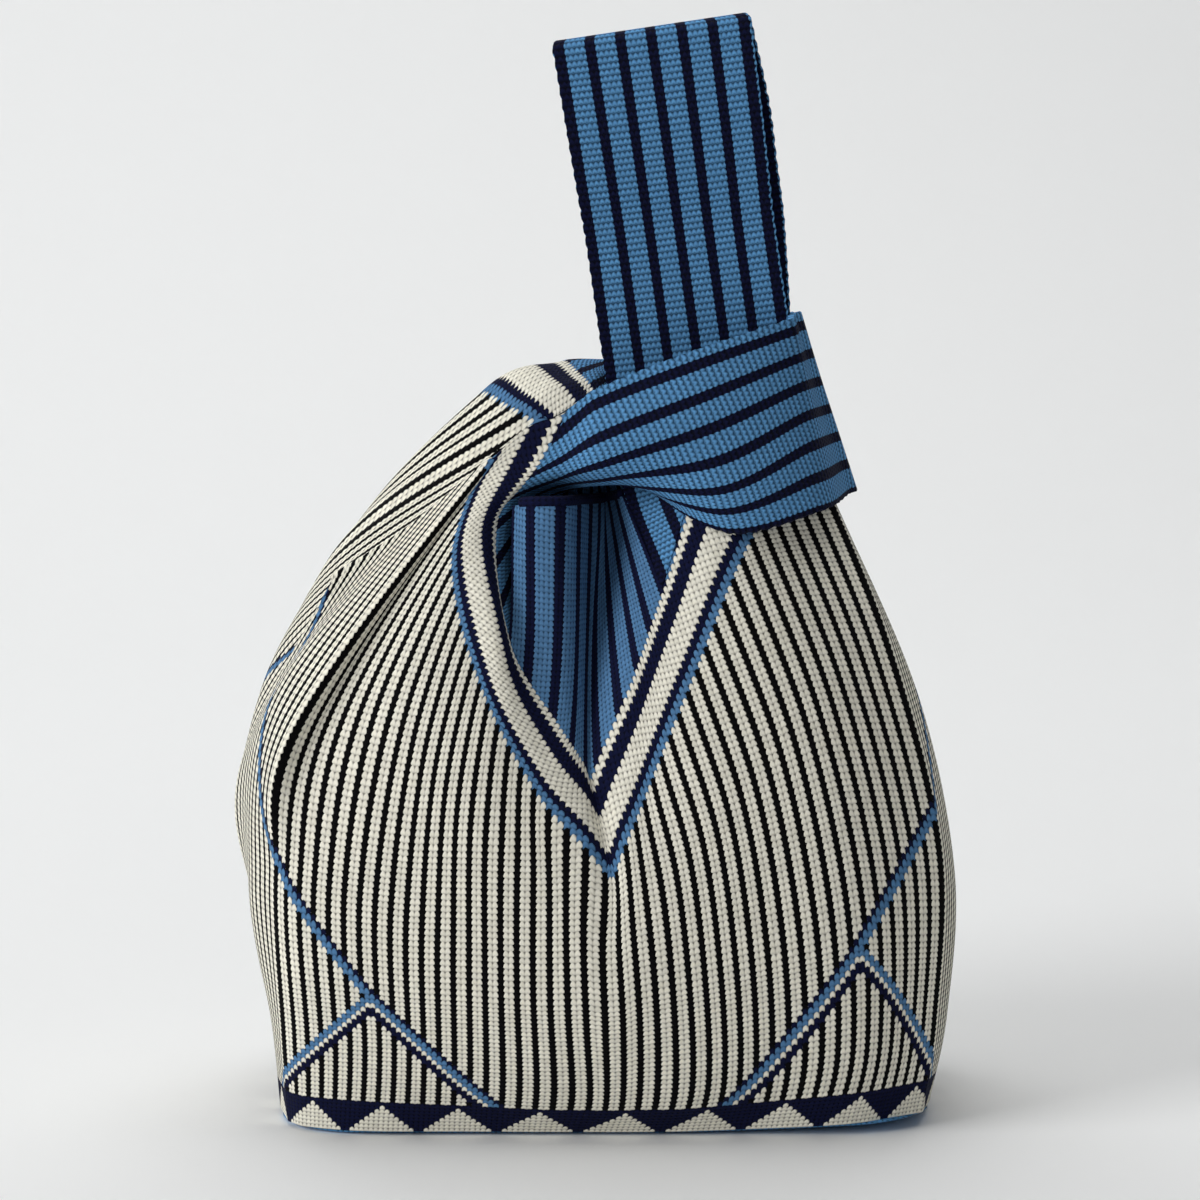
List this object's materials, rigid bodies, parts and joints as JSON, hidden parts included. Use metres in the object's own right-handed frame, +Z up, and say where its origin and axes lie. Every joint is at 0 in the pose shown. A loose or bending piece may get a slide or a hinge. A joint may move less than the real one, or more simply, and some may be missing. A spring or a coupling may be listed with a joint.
{
  "type": "japanese knot bag",
  "caption": "Knitted wrist bag with a flat base and V-necked panels, closed by drawing its long handle up through its short one.",
  "frame": {"origin": "middle of the base panel's underside, on the surface the bag stands on", "axes": "+Z up, -Y towards the viewer of the picture, +X to the viewer's right"},
  "size_m": [0.2394, 0.1472, 0.3577],
  "materials": {
    "cream_knit": "cream and navy striped double knit",
    "blue_knit": "blue and navy striped double knit",
    "navy_knit": "navy knit edging"
  },
  "bodies": {
    "bag": {"base_panel": "blue_knit", "base_seam": "navy_knit", "front_hem_band": "navy_knit", "front_panel": "cream_knit", "front_neck_band": "cream_knit", "front_yoke": "blue_knit", "front_mouth_hem": "navy_knit", "back_hem_band": "navy_knit", "back_panel": "cream_knit", "back_neck_band": "cream_knit", "back_yoke": "blue_knit", "back_mouth_hem": "navy_knit", "short_handle_front_root": "blue_knit", "short_handle_back_root": "blue_knit", "long_handle_front_root": "blue_knit", "long_handle_back_root": "blue_knit", "left_side_seam": "navy_knit", "right_side_seam": "navy_knit"},
    "short_loop": {"short_handle_loop": "blue_knit"},
    "long_handle": {"long_handle_loop": "blue_knit"}
  },
  "joints": [
    {"name": "short_handle_slide", "type": "slide", "parent": "bag", "child": "short_loop", "axis": [-0.1461, 0, 0.9893], "range_m": [0, 0.015]},
    {"name": "long_handle_fold", "type": "hinge", "parent": "bag", "child": "long_handle", "pos_m": [-0.00557, 0, 0.28152], "axis": [0.9893, 0, 0.1461], "range_deg": [-75, 75]}
  ]
}
